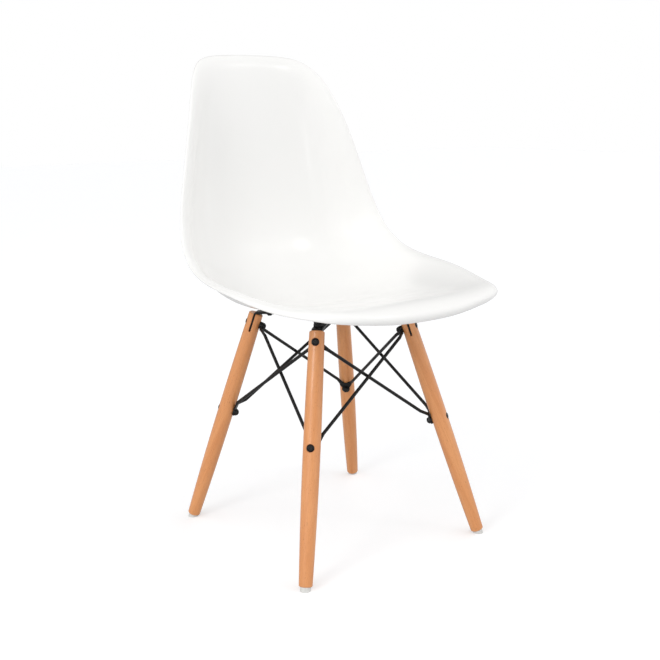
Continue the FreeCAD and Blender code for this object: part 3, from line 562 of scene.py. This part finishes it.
def make_floor():
    """Wide pale floor whose far edge melts into the backdrop."""
    bm = bmesh.new()
    bmesh.ops.create_grid(bm, x_segments=2, y_segments=2, size=FLOOR_REACH)
    floor = finish_mesh("floor", bm)
    material, tree, shader = new_material("floor_paint")
    cloud = noise(tree, object_coordinates(tree), 2.0, 2)
    colour = mix_colour(tree, spread(tree, cloud), *FLOOR_WHITES)
    tree.links.new(colour, shader.inputs["Base Color"])
    # The glow is for the camera only, so it doesn't light the chair from below.
    glow = node(tree, "ShaderNodeMath", operation="MULTIPLY")
    tree.links.new(node(tree, "ShaderNodeLightPath").outputs["Is Camera Ray"], glow.inputs[0])
    glow.inputs[1].default_value = BACKDROP_GLOW
    tree.links.new(glow.outputs[0], shader.inputs["Emission Strength"])
    set_shader(shader, Roughness=0.9, Specular_IOR_Level=0.1, Emission_Color=(1, 1, 1, 1))
    floor.data.materials.append(material)


def softbox(name, azimuth, elevation, size, radiance):
    """Rectangular soft light that looks at the middle of the chair."""
    turn, tilt = math.radians(azimuth), math.radians(elevation)
    away = Vector((math.cos(turn) * math.cos(tilt), math.sin(turn) * math.cos(tilt), math.sin(tilt)))
    data = bpy.data.lights.new(name, "AREA")
    data.shape = "RECTANGLE"
    data.size, data.size_y = size
    data.energy = radiance * math.pi * size[0] * size[1]
    light = bpy.data.objects.new(name, data)
    light.location = LIGHT_TARGET + away * LIGHT_DISTANCE
    light.rotation_euler = away.to_track_quat("Z", "Y").to_euler()
    bpy.context.scene.collection.objects.link(light)


def ceiling():
    """Wide even light from above, from the left and in front, like a studio ceiling."""
    data = bpy.data.lights.new("ceiling", "SUN")
    data.energy = CEILING_STRENGTH
    data.angle = CEILING_SPREAD
    light = bpy.data.objects.new("ceiling", data)
    light.rotation_euler = CEILING_SIDE.to_track_quat("Z", "Y").to_euler()
    bpy.context.scene.collection.objects.link(light)


def make_room():
    """Room that is palest to the right and left, and plain white to the camera."""
    world = bpy.data.worlds.new("studio")
    bpy.context.scene.world = world
    world.use_nodes = True
    tree = world.node_tree
    direction = node(tree, "ShaderNodeTexCoord").outputs["Generated"]

    def facing(toward, level):
        """Light that is strongest from one side and fades to nothing a quarter turn away."""
        product = node(tree, "ShaderNodeVectorMath", operation="DOT_PRODUCT")
        product.inputs[1].default_value = Vector(toward).normalized()
        tree.links.new(direction, product.inputs[0])
        return stretch(tree, product.outputs["Value"], 0, 1, 0, level)

    total = facing(*ROOM[0])
    for toward, level in ROOM[1:]:
        sum_so_far = node(tree, "ShaderNodeMath", operation="ADD")
        tree.links.new(total, sum_so_far.inputs[0])
        tree.links.new(facing(toward, level), sum_so_far.inputs[1])
        total = sum_so_far.outputs[0]
    seen = node(tree, "ShaderNodeMix", data_type="FLOAT")
    tree.links.new(node(tree, "ShaderNodeLightPath").outputs["Is Camera Ray"], seen.inputs[0])
    tree.links.new(total, seen.inputs[2])
    seen.inputs[3].default_value = BACKDROP_WHITE
    tree.links.new(seen.outputs[0], tree.nodes["Background"].inputs["Strength"])
    tree.nodes["Background"].inputs["Color"].default_value = (1, 1, 1, 1)


def make_camera():
    """Three-quarter view from the front and the -X side, from a little above the seat."""
    back = Vector((math.sin(CAMERA_AZIMUTH) * math.cos(CAMERA_ELEVATION),
                   -math.cos(CAMERA_AZIMUTH) * math.cos(CAMERA_ELEVATION),
                   math.sin(CAMERA_ELEVATION)))
    level_right = UP.cross(back).normalized()
    level_up = back.cross(level_right)
    right = level_right * math.cos(CAMERA_ROLL) + level_up * math.sin(CAMERA_ROLL)
    up = level_up * math.cos(CAMERA_ROLL) - level_right * math.sin(CAMERA_ROLL)
    data = bpy.data.cameras.new("camera")
    data.sensor_width = CAMERA_SENSOR
    data.lens = CAMERA_LENS
    camera = bpy.data.objects.new("camera", data)
    turned = Matrix((right, up, back)).transposed().to_4x4()
    camera.matrix_world = Matrix.Translation(CAMERA_PLACE) @ turned
    bpy.context.scene.collection.objects.link(camera)
    bpy.context.scene.camera = camera


make_floor()
make_room()
for box in SOFTBOXES:
    softbox(*box)
ceiling()
make_camera()
bpy.context.scene.view_settings.view_transform = "Standard"
